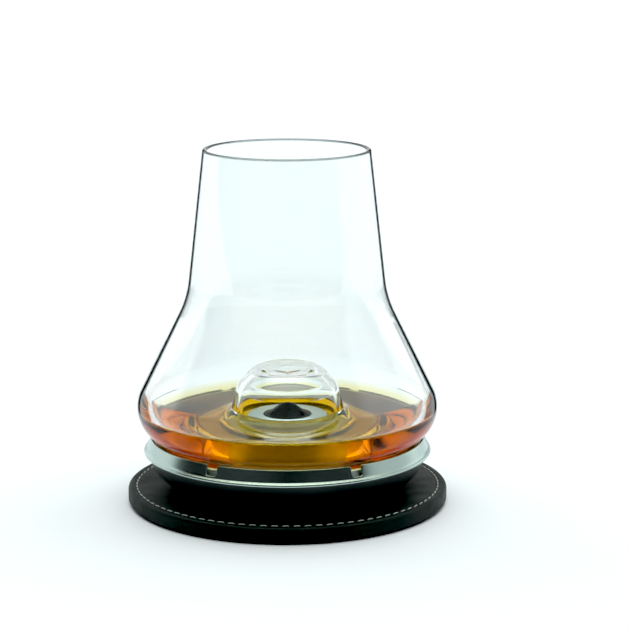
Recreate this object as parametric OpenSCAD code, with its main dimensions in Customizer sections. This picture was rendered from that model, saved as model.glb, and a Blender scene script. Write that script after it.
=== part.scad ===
// Whisky glass with a domed punt, standing in a steel chilling base on a stitched leather coaster.
// Millimetres, +Z up. The origin is on the axis, on the table under the coaster.

/* [Coaster] */
// Diameter of the coaster
coaster_d = 110; // [106:1:124]
// Thickness of the whole coaster
coaster_t = 5.8; // [5:0.1:8]
// Thickness of the leather over the top and round the edge
leather_t = 1.2; // [0.8:0.1:1.5]
// Thickness of the lining glued under the coaster
lining_t = 0.8; // [0.7:0.05:1.2]
// Width of the leather turned in under the board
hem_w = 7.2; // [5:0.2:12]
// Thickness of the turned-in leather, which is pared down
hem_t = 0.6; // [0.4:0.05:0.8]
// Radius of the coaster's top edge
edge_round = 1.4; // [0.6:0.1:1.8]

/* [Stitching] */
// Number of stitches round the coaster
stitch_count = 90; // [60:2:100]
// Distance from the coaster's edge to the stitch line
stitch_inset = 3.0; // [2.6:0.1:5]
// Length of one stitch
stitch_len = 2.5; // [1.5:0.1:2.8]
// Width of the thread
thread_w = 0.6; // [0.4:0.05:0.8]
// Height of the thread as it lies in its groove
thread_t = 0.4; // [0.3:0.05:0.5]
// Angle of each stitch to the stitch line, in degrees
stitch_slant = 6; // [0:1:10]
// Depth of the groove that the upper thread lies in
groove_t = 0.25; // [0.1:0.05:0.4]

/* [Chilling base] */
// Thickness of the steel sheet of the pan and the shell
sheet_t = 0.8; // [0.6:0.1:1]
// Height of the pan's floor above the coaster
floor_h = 5.2; // [4.8:0.1:7]
// Diameter of the flat bottom of the shell
shell_foot_d = 75; // [70:1:80]
// Thickness of the rubber foot ring under the shell
foot_t = 0.9; // [0.6:0.1:1.2]
// Outer diameter of the foot ring
foot_d = 72; // [60:1:74]
// Width of the foot ring's band
foot_w = 6; // [4:0.5:8]
// Gap between the glass's taper and the pan, square to both
pan_gap = 0.5; // [0.3:0.05:0.7]

/* [Rim ring] */
// Height of the ring's top edge above the coaster
ring_top_h = 17.0; // [16.4:0.1:18]
// Height of the ring from its seat on the shell to its top edge
ring_h = 5.45; // [5:0.05:6.5]
// Thickness of the ring's wall
ring_t = 1.0; // [0.8:0.05:1.2]
// How far the ring's wall leans out from its top edge down to its bead
ring_flare = 1.8; // [1.2:0.05:2.2]
// Diameter of the rolled bead along the ring's lower edge
bead_d = 1.3; // [1:0.05:1.6]
// Gap between the glass's taper and the ring's top edge, square to the taper
glass_gap = 0.3; // [0.3:0.05:0.5]
// How far the pan's lip stands below the ring's top edge
lip_drop = 1.5; // [1.3:0.1:2.2]
// Number of notches cut in the ring's top edge
notch_count = 6; // [3:1:8]
// Width of a notch
notch_w = 3.8; // [2.5:0.1:6]
// Depth of a notch
notch_depth = 3.5; // [2.5:0.1:3.6]
// Radius in the lower corners of a notch
notch_round = 0.9; // [0.4:0.1:1.1]
// Radius where a notch meets the top edge
notch_lead = 0.7; // [0.3:0.1:1]
// Angle from the front to the first notch, in degrees
notch_turn = 29.2; // [0:0.2:59]

/* [Boss and badge] */
// Diameter of the boss's flat top
boss_d = 28; // [26:0.5:29]
// Height of the boss above the pan's floor
boss_h = 19; // [16:0.5:24]
// How much wider the boss is at its foot than at its top, on the radius
boss_draft = 1.6; // [0.5:0.1:2]
// Diameter of the plain dark badge let into the boss
badge_d = 16.4; // [12:0.2:20]
// Depth of the recess that holds the badge
badge_recess = 0.8; // [0.5:0.1:1.2]
// Height of the badge's crown above the boss
badge_crown = 4.2; // [1:0.1:5]
// Gap round the badge in its recess
badge_gap = 0.1; // [0.05:0.05:0.3]

/* [Filler] */
// Diameter of the filler plug's shank
plug_d = 8; // [6:0.5:10]
// Diameter of the plug's head
plug_head_d = 13; // [12:0.5:15]
// Thickness of the plug's head
plug_head_t = 0.9; // [0.7:0.1:1.2]
// Thickness of the sealing washer under the plug's head
seal_t = 0.5; // [0.4:0.05:0.8]
// Height of the threaded bush welded inside the shell
bush_h = 1.6; // [1:0.1:1.8]
// Outer diameter of the bush
bush_d = 13; // [12:0.5:15]

/* [Glass] */
// Height of the glass from its foot to its rim
glass_h = 110.8; // [104:0.2:118]
// Outer diameter at the rim
rim_d = 56.9; // [52:0.5:60]
// Height of the waist where the chimney meets the cone, above the foot
waist_h = 60; // [56:0.5:64]
// Radius of the rounded waist
waist_round = 35; // [20:1:45]
// Widest outer diameter of the bowl
bowl_d = 103.1; // [100:0.2:106]
// Height of the widest place above the foot
bowl_h = 22.4; // [21:0.2:24]
// Radius of the bowl's rounded shoulder
bowl_round = 12; // [9:0.5:13]
// Lean of the cone above the bowl, in degrees from upright
cone_lean = 26.5; // [24:0.5:29]
// Lean of the taper below the bowl, in degrees from upright
taper_lean = 48.1; // [46:0.1:50]
// Radius where the taper meets the foot
foot_round = 4; // [2:0.5:6]
// Thickness of the chimney's wall
chimney_wall = 1.7; // [1.4:0.1:2.2]
// Thickness of the cone's wall
cone_wall = 2.4; // [1.8:0.1:3.2]
// Thickness of the taper's wall
taper_wall = 4.0; // [3:0.1:5]
// Thickness of the glass's floor
glass_floor_t = 4.5; // [3:0.1:6]

/* [Punt] */
// Height of the punt's dome above the foot
dome_h = 36.5; // [34:0.5:40]
// Outer radius of the dome at its shoulder
dome_r = 17.3; // [16.8:0.1:18.4]
// How far the dome's shoulder lies below its top
dome_drop = 7; // [5:0.5:9]
// Outer radius of the dome at the edge of its crown
crown_r = 11.2; // [9:0.2:12]
// How far the edge of the crown lies below the top
crown_drop = 0.6; // [0.3:0.1:1.2]
// Lean of the dome's side, in degrees from upright
dome_lean = 13.5; // [6:0.1:15]
// Thickness of the dome's side
dome_wall = 2.2; // [1.8:0.1:3.6]
// Thickness of the dome's shoulder
shoulder_wall = 2.4; // [2:0.1:4.4]
// Thickness of the dome's crown
crown_wall = 2.8; // [2.2:0.1:5]
// Radius where the dome meets the glass's floor
dome_foot_round = 3.5; // [2:0.5:6]

/* [Whisky] */
// Height of the whisky's surface above the glass's foot
whisky_h = 20; // [12:0.5:22]

/* [Hidden] */
$fn = 96;
// Largest angle that one straight piece of a rounded corner turns through
arc_step = 15;
// Overrun of every cut
over = 1;
// Room on each side of the stitches in their groove
groove_gap = 0.2;
// Radius of the coaster's lower edge
under_round = 0.8;
// Radii of the bends in the sheet and at the lips of the glass
boss_round = 1;
boss_foot_round = 1.5;
pan_round = 3;
fold_round = 1.2;
shell_foot_round = 4;
shell_round = 8;
dimple_round = 0.5;
punt_lip_round = 1.5;
dome_shoulder_round = 8;
dome_crown_round = 7;
// Part of the wall's thickness that the fire-polished lip is rounded by
lip_round_share = 0.46;
// Part of the outer radius of the bowl's shoulder that stays inside the wall
inner_round_share = 0.8;
// Room between the plug's head and the coaster, and round the seal and the dimple
plug_clear = 0.3;
dimple_gap = 2;
// Width of the dimple's sloping side
dimple_side = 1;
// Where the shell's side bends, out from its foot and up from its bottom, as shares of its rise
shell_bend_out_share = 0.68;
shell_bend_up_share = 0.34;
// Width of the plug's screwdriver slot, as a share of the shank
plug_slot_share = 0.2;
// How far the shell's top lies inside the outside of the bead
shell_inset = 1;
// Angle above level at which the ring's wall runs into its bead, and the bead's facet angle
bead_start = 70;
bead_step = 16;
// Room between the pan's skirt and the ring's shelf
skirt_gap = 0.5;
// Straight pieces in the badge's bell-shaped crown
badge_steps = 12;

coaster_r = coaster_d / 2;
stitch_r = coaster_r - stitch_inset;
board_r = coaster_r - leather_t;
hem_r = coaster_r - hem_w;
board_top = coaster_t - leather_t;
hem_top = lining_t + hem_t;
groove_w = thread_w + 2 * groove_gap + stitch_len * sin(stitch_slant);

glass_z = coaster_t + floor_h;
ring_top = coaster_t + ring_top_h;
ring_seat = ring_top - ring_h;
shell_z = coaster_t + foot_t;
boss_top = glass_z + boss_h;
whisky_top = glass_z + whisky_h;

// The corner where the cone and the taper would meet if the bowl weren't rounded
bowl_turn = cone_lean + taper_lean;
bowl_corner = [bowl_d / 2 - bowl_round, glass_z + bowl_h]
    + bowl_round / cos(bowl_turn / 2)
    * [cos((cone_lean - taper_lean) / 2), sin((cone_lean - taper_lean) / 2)];

// Outer radius of the glass's taper at a height
function taper_r(z) = bowl_corner.x - (bowl_corner.y - z) * tan(taper_lean);
// Outer radius of the punt's dome at a height
function dome_side_r(z) = dome_r + (glass_z + dome_h - dome_drop - z) * tan(dome_lean);

function unit(v) = v / norm(v);
// The direction square to v, on its right
function right_of(v) = [v.y, -v.x];
// Angle that the path turns through at b
function turn_at(a, b, c) = acos(max(-1, min(1, unit(b - a) * unit(c - b))));
// Points of the round of radius r that replaces the corner b
function round_at(a, b, c, r) = let(
        turn = turn_at(a, b, c),
        way = sign(cross(b - a, c - b)),
        reach = r * tan(turn / 2),
        start = b - unit(b - a) * reach,
        centre = start - way * right_of(unit(b - a)) * r,
        first = atan2(start.y - centre.y, start.x - centre.x),
        steps = max(1, ceil(turn / arc_step)))
    [for (i = [0 : steps]) centre + r * [cos(first + way * turn * i / steps),
                                         sin(first + way * turn * i / steps)]];
// A path whose corners [x, z, radius] are rounded; its two ends stay sharp
function rounded(path) = [for (i = [0 : len(path) - 1]) let(
        b = [path[i].x, path[i].y])
    each (i == 0 || i == len(path) - 1 || path[i].z == 0) ? [b]
        : round_at([path[i - 1].x, path[i - 1].y], b, [path[i + 1].x, path[i + 1].y], path[i].z)];
// The corner b moved to the right of a path, by p beside a-b and by q beside b-c
function moved_corner(a, b, c, p, q) = let(
        m = right_of(unit(b - a)),
        n = right_of(unit(c - b)))
    b + [p * n.y - q * m.y, q * m.x - p * n.x] / cross(m, n);
// A path of sheet metal moved to its right by t, its rounds made to match
function moved(path, t) = let(last = len(path) - 1)
    [for (i = [0 : last]) let(
        b = [path[i].x, path[i].y],
        a = i == 0 ? b : [path[i - 1].x, path[i - 1].y],
        c = i == last ? b : [path[i + 1].x, path[i + 1].y],
        at = i == 0 ? b + right_of(unit(c - b)) * t
            : i == last ? b + right_of(unit(b - a)) * t
            : moved_corner(a, b, c, t, t),
        way = i == 0 || i == last ? 0 : sign(cross(b - a, c - b)))
    [at.x, at.y, path[i].z == 0 ? 0 : max(0, path[i].z + way * t)]];
// Closed outline of a sheet of thickness t that follows a path, with t on the path's right
function sheet_outline(path, t) = let(back = rounded(moved(path, t)))
    concat(rounded(path), [for (i = [len(back) - 1 : -1 : 0]) back[i]]);

// Upper face of the pan, from the axis to its lip, where the sheet folds down into a skirt
// behind the ring. The corner of the fold lies above its round crest.
pan_corner_r = taper_r(glass_z) + pan_gap / cos(taper_lean);
ring_lean = atan2(ring_flare, ring_h);
fold_rise = fold_round * (cos((taper_lean - ring_lean) / 2) / sin((taper_lean + ring_lean) / 2) - 1);
fold_z = ring_top - lip_drop + fold_rise;
fold_r = pan_corner_r + (fold_z - glass_z) * tan(taper_lean);
skirt_z = ring_seat + sheet_t + skirt_gap;
pan_path = [
    [0, boss_top - badge_recess, 0],
    [badge_d / 2 + badge_gap, boss_top - badge_recess, 0],
    [badge_d / 2 + badge_gap, boss_top, 0],
    [boss_d / 2, boss_top, boss_round],
    [boss_d / 2 + boss_draft, glass_z, boss_foot_round],
    [pan_corner_r, glass_z, pan_round],
    [fold_r, fold_z, fold_round],
    [fold_r + (fold_z - skirt_z) * tan(ring_lean), skirt_z, 0]];
// Radius of the pan's outer face at a height on its sloping wall
function pan_outer_r(z) = pan_corner_r + (z - glass_z) * tan(taper_lean) + sheet_t / cos(taper_lean);

// Places on the rim ring's section
ring_in_r = taper_r(ring_top) + glass_gap / cos(taper_lean);
bead_z = ring_seat + bead_d / 2;
ring_low_r = ring_in_r + ring_t + ring_flare;
bead_r = ring_low_r - bead_d / 2 * cos(bead_start);
bead_points = [for (a = [bead_start : -bead_step : -90])
    [bead_r, bead_z] + bead_d / 2 * [cos(a), sin(a)]];

// Outer face of the shell, from the axis to the ring's seat
shell_foot_r = shell_foot_d / 2;
shell_rim_r = bead_r + bead_d / 2 - shell_inset;
dimple_r = plug_head_d / 2 + dimple_gap;
dimple_z = coaster_t + plug_clear + plug_head_t + seal_t;
shell_path = [
    [shell_rim_r, ring_seat, 0],
    [shell_foot_r + (shell_rim_r - shell_foot_r) * shell_bend_out_share,
     shell_z + (ring_seat - shell_z) * shell_bend_up_share, shell_round],
    [shell_foot_r, shell_z, shell_foot_round],
    [dimple_r + dimple_side, shell_z, dimple_round],
    [dimple_r, dimple_z, dimple_round],
    [0, dimple_z, 0]];

// Outer face of the dome, from the axis down to the glass's floor
dome_top = glass_z + dome_h;
dome_shoulder_z = dome_top - dome_drop;
floor_z = glass_z + glass_floor_t;
dome_crown = [crown_r, dome_top - crown_drop];
dome_shoulder = [dome_r, dome_shoulder_z];
dome_foot = [dome_side_r(floor_z), floor_z];
// The same corners on the cavity's side
dome_axis = [0, dome_top];
punt_crown = moved_corner(dome_axis, dome_crown, dome_shoulder, crown_wall, shoulder_wall);
punt_shoulder = moved_corner(dome_crown, dome_shoulder, dome_foot, shoulder_wall, dome_wall);
punt_top = [0, dome_top - crown_wall / cos(atan2(crown_drop, crown_r))];
punt_lip = [punt_shoulder.x + (punt_shoulder.y - glass_z) * tan(dome_lean), glass_z];

// Outer corners of the bowl, from the foot to the rim, and the same corners inside
foot_corner = [taper_r(glass_z), glass_z];
waist = [bowl_corner.x - (glass_z + waist_h - bowl_corner.y) * tan(cone_lean), glass_z + waist_h];
rim = [rim_d / 2, glass_z + glass_h];
chimney_lean = atan2(waist.x - rim.x, rim.y - waist.y);
inner_bowl = moved_corner(foot_corner, bowl_corner, waist, -taper_wall, -cone_wall);
inner_waist = moved_corner(bowl_corner, waist, rim, -cone_wall, -chimney_wall);
inner_rim = rim - [chimney_wall / cos(chimney_lean), 0];
inner_floor = [taper_r(floor_z) - taper_wall / cos(taper_lean), floor_z];
lip_round = chimney_wall * lip_round_share;
inner_bowl_round = bowl_round * inner_round_share;

function with_round(p, r) = [p.x, p.y, r];
// The inside of the bowl, from the rim down to the floor and over the dome to the axis
inner_path = [
    with_round(inner_rim, lip_round),
    with_round(inner_waist, waist_round + chimney_wall),
    with_round(inner_bowl, inner_bowl_round),
    with_round(inner_floor, foot_round + taper_wall),
    with_round(dome_foot, dome_foot_round),
    with_round(dome_shoulder, dome_shoulder_round),
    with_round(dome_crown, dome_crown_round),
    with_round(dome_axis, 0)];
glass_path = concat([
    with_round(punt_top, 0),
    with_round(punt_crown, dome_crown_round - crown_wall),
    with_round(punt_shoulder, dome_shoulder_round - shoulder_wall),
    with_round(punt_lip, punt_lip_round),
    with_round(foot_corner, foot_round),
    with_round(bowl_corner, bowl_round),
    with_round(waist, waist_round),
    with_round(rim, lip_round)], inner_path);

// A flat stitch lying along x
module stitch_shape() {
    straight = stitch_len - thread_w;
    square([straight, thread_w], center = true);
    for (side = [-1, 1])
        translate([side * straight / 2, 0]) circle(d = thread_w);
}

// A ring of stitches whose lower faces are at a height
module stitches(z) {
    for (i = [0 : stitch_count - 1])
        rotate([0, 0, 360 * i / stitch_count])
            translate([0, -stitch_r, z])
                rotate([0, 0, stitch_slant])
                    linear_extrude(thread_t) stitch_shape();
}

// The groove that a ring of stitches lies in
module stitch_groove(z, depth) {
    translate([0, 0, z])
        difference() {
            cylinder(r = stitch_r + groove_w / 2, h = depth);
            translate([0, 0, -over]) cylinder(r = stitch_r - groove_w / 2, h = depth + 2 * over);
        }
}

module coaster_lining() {
    color([0.09, 0.09, 0.1])
        difference() {
            cylinder(r = board_r, h = lining_t);
            stitch_groove(-over, thread_t + over);
        }
}

module coaster_board() {
    color([0.45, 0.4, 0.33]) {
        translate([0, 0, lining_t]) cylinder(r = hem_r, h = hem_t);
        translate([0, 0, hem_top]) cylinder(r = board_r, h = board_top - hem_top);
    }
}

module coaster_leather() {
    section = [
        [0, board_top, 0], [board_r, board_top, 0], [board_r, hem_top, 0], [hem_r, hem_top, 0],
        [hem_r, lining_t, 0], [coaster_r, lining_t, under_round],
        [coaster_r, coaster_t, edge_round], [0, coaster_t, 0]];
    color([0.08, 0.1, 0.1])
        difference() {
            rotate_extrude() polygon(rounded(section));
            stitch_groove(coaster_t - groove_t, groove_t + over);
        }
}

module top_thread() {
    color([0.86, 0.87, 0.84]) stitches(coaster_t - groove_t);
}

module under_thread() {
    color([0.3, 0.3, 0.3]) stitches(0);
}

module foot_ring() {
    color([0.05, 0.05, 0.05])
        translate([0, 0, coaster_t])
            difference() {
                cylinder(d = foot_d, h = foot_t);
                translate([0, 0, -over]) cylinder(d = foot_d - 2 * foot_w, h = foot_t + 2 * over);
            }
}

module base_shell() {
    color([0.5, 0.52, 0.53])
        difference() {
            rotate_extrude()
                intersection() {
                    polygon(sheet_outline(shell_path, sheet_t));
                    square([shell_rim_r, ring_seat]);
                }
            translate([0, 0, dimple_z - over]) cylinder(d = plug_d, h = sheet_t + 2 * over);
        }
}

module filler_bush() {
    color([0.7, 0.72, 0.73])
        translate([0, 0, dimple_z + sheet_t])
            difference() {
                cylinder(d = bush_d, h = bush_h);
                translate([0, 0, -over]) cylinder(d = plug_d, h = bush_h + 2 * over);
            }
}

module filler_plug() {
    slot_w = plug_d * plug_slot_share;
    color([0.76, 0.78, 0.79])
        difference() {
            translate([0, 0, coaster_t + plug_clear]) {
                cylinder(d = plug_head_d, h = plug_head_t);
                cylinder(d = plug_d, h = plug_head_t + seal_t + sheet_t + bush_h);
            }
            translate([-plug_d / 2, -slot_w / 2, coaster_t + plug_clear - over])
                cube([plug_d, slot_w, over + plug_head_t / 2]);
        }
}

module plug_seal() {
    color([0.1, 0.1, 0.1])
        translate([0, 0, dimple_z - seal_t])
            difference() {
                cylinder(d = plug_head_d, h = seal_t);
                translate([0, 0, -over]) cylinder(d = plug_d, h = seal_t + 2 * over);
            }
}

module cooling_gel() {
    shell_inside = rounded(moved(shell_path, sheet_t));
    pan_under = rounded(moved(pan_path, sheet_t));
    bush_z = dimple_z + sheet_t;
    color([0.55, 0.75, 0.85])
        difference() {
            rotate_extrude()
                intersection() {
                    polygon(concat(pan_under, shell_inside));
                    square([pan_outer_r(ring_seat), boss_top]);
                }
            translate([0, 0, bush_z - over]) cylinder(d = bush_d, h = bush_h + over);
        }
}

module base_pan() {
    color([0.78, 0.8, 0.81])
        rotate_extrude() polygon(sheet_outline(pan_path, sheet_t));
}

// Outline of one notch, seen along the radius, from the ring's top edge down
module notch_shape() {
    half = notch_w / 2;
    polygon(rounded([
        [-half - notch_lead - over, over, 0],
        [-half - notch_lead - over, 0, 0],
        [-half, 0, notch_lead],
        [-half, -notch_depth, notch_round],
        [half, -notch_depth, notch_round],
        [half, 0, notch_lead],
        [half + notch_lead + over, 0, 0],
        [half + notch_lead + over, over, 0]]));
}

module rim_ring() {
    shelf_top = ring_seat + sheet_t;
    section = concat(
        [[ring_in_r, ring_top], [ring_in_r + ring_t, ring_top]],
        bead_points,
        [[pan_outer_r(ring_seat), ring_seat], [pan_outer_r(shelf_top), shelf_top],
         [ring_low_r - ring_t, shelf_top]]);
    color([0.8, 0.83, 0.83])
        difference() {
            rotate_extrude() polygon(section);
            for (i = [0 : notch_count - 1])
                rotate([0, 0, notch_turn + 360 * i / notch_count])
                    translate([0, -ring_in_r + over, ring_top])
                        rotate([90, 0, 0])
                            linear_extrude(ring_t + ring_flare + 2 * over) notch_shape();
        }
}

module boss_badge() {
    r = badge_d / 2;
    low = boss_top - badge_recess;
    // A bell: its height over the boss goes as half of 1 + cos of the radius's share of 180 degrees
    bell = [for (i = [badge_steps : -1 : 0])
        [r * i / badge_steps, boss_top + badge_crown * (1 + cos(180 * i / badge_steps)) / 2]];
    color([0.06, 0.06, 0.07])
        rotate_extrude() polygon(concat([[0, low], [r, low]], bell));
}

module glass_bowl() {
    color([0.86, 0.96, 0.94, 0.35])
        rotate_extrude() polygon(rounded(glass_path));
}

module whisky() {
    color([0.85, 0.42, 0.05, 0.7])
        rotate_extrude()
            intersection() {
                polygon(rounded(concat([[0, rim.y, 0]], inner_path)));
                square([bowl_d / 2, whisky_top]);
            }
}

coaster_lining();
coaster_board();
coaster_leather();
top_thread();
under_thread();
foot_ring();
base_shell();
filler_bush();
filler_plug();
plug_seal();
cooling_gel();
base_pan();
rim_ring();
boss_badge();
glass_bowl();
whisky();
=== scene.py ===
# %% [markdown]
# This lesson dresses a glass of whisky on its chilling base and leather coaster.
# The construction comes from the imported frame, where every solid has its real size and place.
# Here each piece that shows is worked out again as a smooth surface, so that glass, liquid and
# polished steel bend and mirror light cleanly, and every piece gets its finish.

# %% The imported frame
import math

import bpy
import numpy as np
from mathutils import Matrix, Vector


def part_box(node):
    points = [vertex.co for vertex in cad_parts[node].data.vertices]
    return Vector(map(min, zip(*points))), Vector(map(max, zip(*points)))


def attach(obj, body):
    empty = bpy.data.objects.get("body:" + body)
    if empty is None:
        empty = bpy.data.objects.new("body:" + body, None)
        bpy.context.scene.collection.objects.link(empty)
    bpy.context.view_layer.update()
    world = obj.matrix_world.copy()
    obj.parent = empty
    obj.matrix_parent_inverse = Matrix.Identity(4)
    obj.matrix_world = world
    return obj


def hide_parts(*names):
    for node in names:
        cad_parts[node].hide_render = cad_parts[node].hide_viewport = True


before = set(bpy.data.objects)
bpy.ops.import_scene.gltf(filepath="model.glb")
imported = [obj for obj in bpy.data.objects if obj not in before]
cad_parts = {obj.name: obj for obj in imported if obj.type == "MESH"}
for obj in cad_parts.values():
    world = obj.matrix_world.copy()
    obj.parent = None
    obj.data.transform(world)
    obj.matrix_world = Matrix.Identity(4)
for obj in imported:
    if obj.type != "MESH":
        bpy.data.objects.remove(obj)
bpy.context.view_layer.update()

MM = 0.001

# %% [markdown]
# The camera comes first, because every size below was judged through it.
# It stands three quarters of a metre in front of the glass, a little to the right of its axis, and
# looks down on it gently. A long lens keeps the rim and the coaster almost free of perspective.
# The pixel where the axis shows could also be reached by shifting the lens, but moving the
# camera sideways keeps the picture's geometry simple.

# %% Camera
CAMERA_PLACE = (0.0095, -0.7338, 0.2157)
CAMERA_PITCH = 11.63
LENS = 125.45
SENSOR = 36
NEAREST_SEEN = 0.05

camera_data = bpy.data.cameras.new("camera")
camera_data.lens = LENS
camera_data.sensor_width = SENSOR
camera_data.clip_start = NEAREST_SEEN
camera = bpy.data.objects.new("camera", camera_data)
camera.location = CAMERA_PLACE
camera.rotation_euler = (math.radians(90 - CAMERA_PITCH), 0, 0)
bpy.context.scene.collection.objects.link(camera)
bpy.context.scene.camera = camera
print("camera", camera.location[:], "looks down by", CAMERA_PITCH, "degrees")

# %% [markdown]
# The main heights and radii are read from the frame, so that the dressed pieces follow it.
# A node's box gives its lowest and highest point and, for a turned piece, its widest radius.

# %% Measures read from the frame
def top(node):
    """Height of a node's highest point."""
    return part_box(node)[1].z


def foot(node):
    """Height of a node's lowest point."""
    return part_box(node)[0].z


def radius(node):
    """Widest radius of a node that is turned about the axis."""
    low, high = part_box(node)
    return (high.x - low.x) / 2


GLASS_FOOT = foot("glass_bowl")
GLASS_TOP = top("glass_bowl")
BOWL_R = radius("glass_bowl")
WHISKY_TOP = top("whisky")
COASTER_TOP = top("coaster_leather")
COASTER_R = radius("coaster_leather")
RING_TOP = top("rim_ring")
RING_SEAT = foot("rim_ring")
BEAD_OUT_R = radius("rim_ring")
BOSS_TOP = top("base_pan")
SHELL_FOOT = foot("base_shell")
print("glass %.1f mm tall, bowl %.1f mm wide" % ((GLASS_TOP - GLASS_FOOT) / MM, 2 * BOWL_R / MM))

# %% [markdown]
# Nearly every piece here is turned: spun steel, blown glass, a liquid, a round of leather.
# Such a piece is one outline carried round the axis. An outline is given as a few corners, each
# with the radius that rounds it, just as a draughtsman writes it. Arcs then take the place of the
# corners, and each point also gets the exact direction that the surface faces there.
# Exact normals matter more on glass than anywhere else: a ray is bent by the normal, so a
# faceted or guessed one would make the edges and the liquid shimmer.

# %% Outlines with rounded corners
ARC_STEP = 4


def unit(vector):
    """A vector divided by its length."""
    return vector / np.linalg.norm(vector, axis=-1, keepdims=True)


def right_of(vector):
    """A direction in the plane turned a quarter turn to the right."""
    return np.stack([vector[..., 1], -vector[..., 0]], -1)


def corner_arc(before, corner, after, rounding):
    """Points and right-hand normals of the arc that touches both lines at a corner.

    The arc's centre lies off the first line, on the side that the path turns to, by the radius.
    The arc starts at the radius times the tangent of half the turn before the corner."""
    way_in, way_out = unit(corner - before), unit(after - corner)
    turn = math.acos(np.clip(way_in @ way_out, -1, 1))
    side = np.sign(way_in[0] * way_out[1] - way_in[1] * way_out[0])
    start = corner - way_in * rounding * math.tan(turn / 2)
    centre = start - side * right_of(way_in) * rounding
    steps = max(2, math.ceil(math.degrees(turn) / ARC_STEP))
    first = math.atan2(*(start - centre)[::-1])
    angle = first + side * turn * np.linspace(0, 1, steps + 1)
    spoke = np.stack([np.cos(angle), np.sin(angle)], -1)
    return centre + rounding * spoke, side * spoke


def outline(corners):
    """Stretches of an outline, each (points, normals), from corners (r, z, rounding).

    A corner with no rounding ends one stretch and starts the next, so that its edge stays sharp."""
    corners = np.array(corners, float)
    at, rounding = corners[:, :2], corners[:, 2]
    facing = right_of(unit(np.diff(at, axis=0)))
    points, normals, stretches = [at[:1]], [facing[:1]], []
    for i in range(1, len(at) - 1):
        if rounding[i] > 0:
            arc, arc_facing = corner_arc(at[i - 1], at[i], at[i + 1], rounding[i])
            points.append(arc)
            normals.append(arc_facing)
        else:
            stretches.append((np.vstack(points + [at[i:i + 1]]), np.vstack(normals + [facing[i - 1:i]])))
            points, normals = [at[i:i + 1]], [facing[i:i + 1]]
    stretches.append((np.vstack(points + [at[-1:]]), np.vstack(normals + [facing[-1:]])))
    return stretches


print("an outline's arcs have a point every", ARC_STEP, "degrees")

# %% [markdown]
# Sheet steel and the glass's inner wall need a path beside another path, at a set distance.
# Scaling the outline would not do, because a slanting part would come nearer than a level one.
# So each corner is moved to where its two lines meet once both are moved sideways, and its
# round grows or shrinks by the same distance, which keeps the arcs on one centre.

# %% Paths beside a path
def smooth_curve(points):
    """One stretch through points close together; its normals are square to the local slope."""
    slope = np.gradient(points, axis=0)
    return points, right_of(unit(slope))


def offset_corner(before, corner, after, first, second):
    """A corner moved to the right of its path, by one distance beside each of its two lines.

    The move, measured along the right of the first line, is the first distance, and along the
    right of the second line the second; the two conditions are solved by their cross product."""
    side, next_side = right_of(unit(corner - before)), right_of(unit(after - corner))
    move = np.array([first * next_side[1] - second * side[1], second * side[0] - first * next_side[0]])
    return corner + move / (side[0] * next_side[1] - side[1] * next_side[0])


def offset_path(corners, distance):
    """Corners (r, z, rounding) of a path moved to its right, with its rounds made to match."""
    at = [np.array(corner[:2], float) for corner in corners]
    last = len(at) - 1
    moved = []
    for i, corner in enumerate(corners):
        if i == 0:
            place = at[0] + right_of(unit(at[1] - at[0])) * distance
        elif i == last:
            place = at[last] + right_of(unit(at[last] - at[last - 1])) * distance
        else:
            place = offset_corner(at[i - 1], at[i], at[i + 1], distance, distance)
        rounding = 0
        if corner[2] > 0:
            way_in, way_out = at[i] - at[i - 1], at[i + 1] - at[i]
            turns_left = np.sign(way_in[0] * way_out[1] - way_in[1] * way_out[0])
            rounding = max(0, corner[2] + turns_left * distance)
        moved.append((place[0], place[1], rounding))
    return moved


below, corner, beside = np.array([[0, 0], [0, 1], [1, 1]])
print("the corner (0, 1) of a square, moved by 0.1:", offset_corner(below, corner, beside, 0.1, 0.1))

# %% [markdown]
# Turning an outline could be done with a Screw modifier, but then the exact normals are lost.
# Here the grid is computed whole: the outline's radii and heights in one direction, the sines
# and cosines of the turn in the other. A point on the axis becomes a single vertex with a fan
# of triangles, so that poles are closed.

# %% Turning an outline into a mesh
TURNS = 256
ON_AXIS = 1e-9


def new_object(name, mesh, body):
    """Puts a finished mesh in the scene and makes it ride on a body."""
    piece = bpy.data.objects.new(name, mesh)
    bpy.context.scene.collection.objects.link(piece)
    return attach(piece, body)


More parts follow.
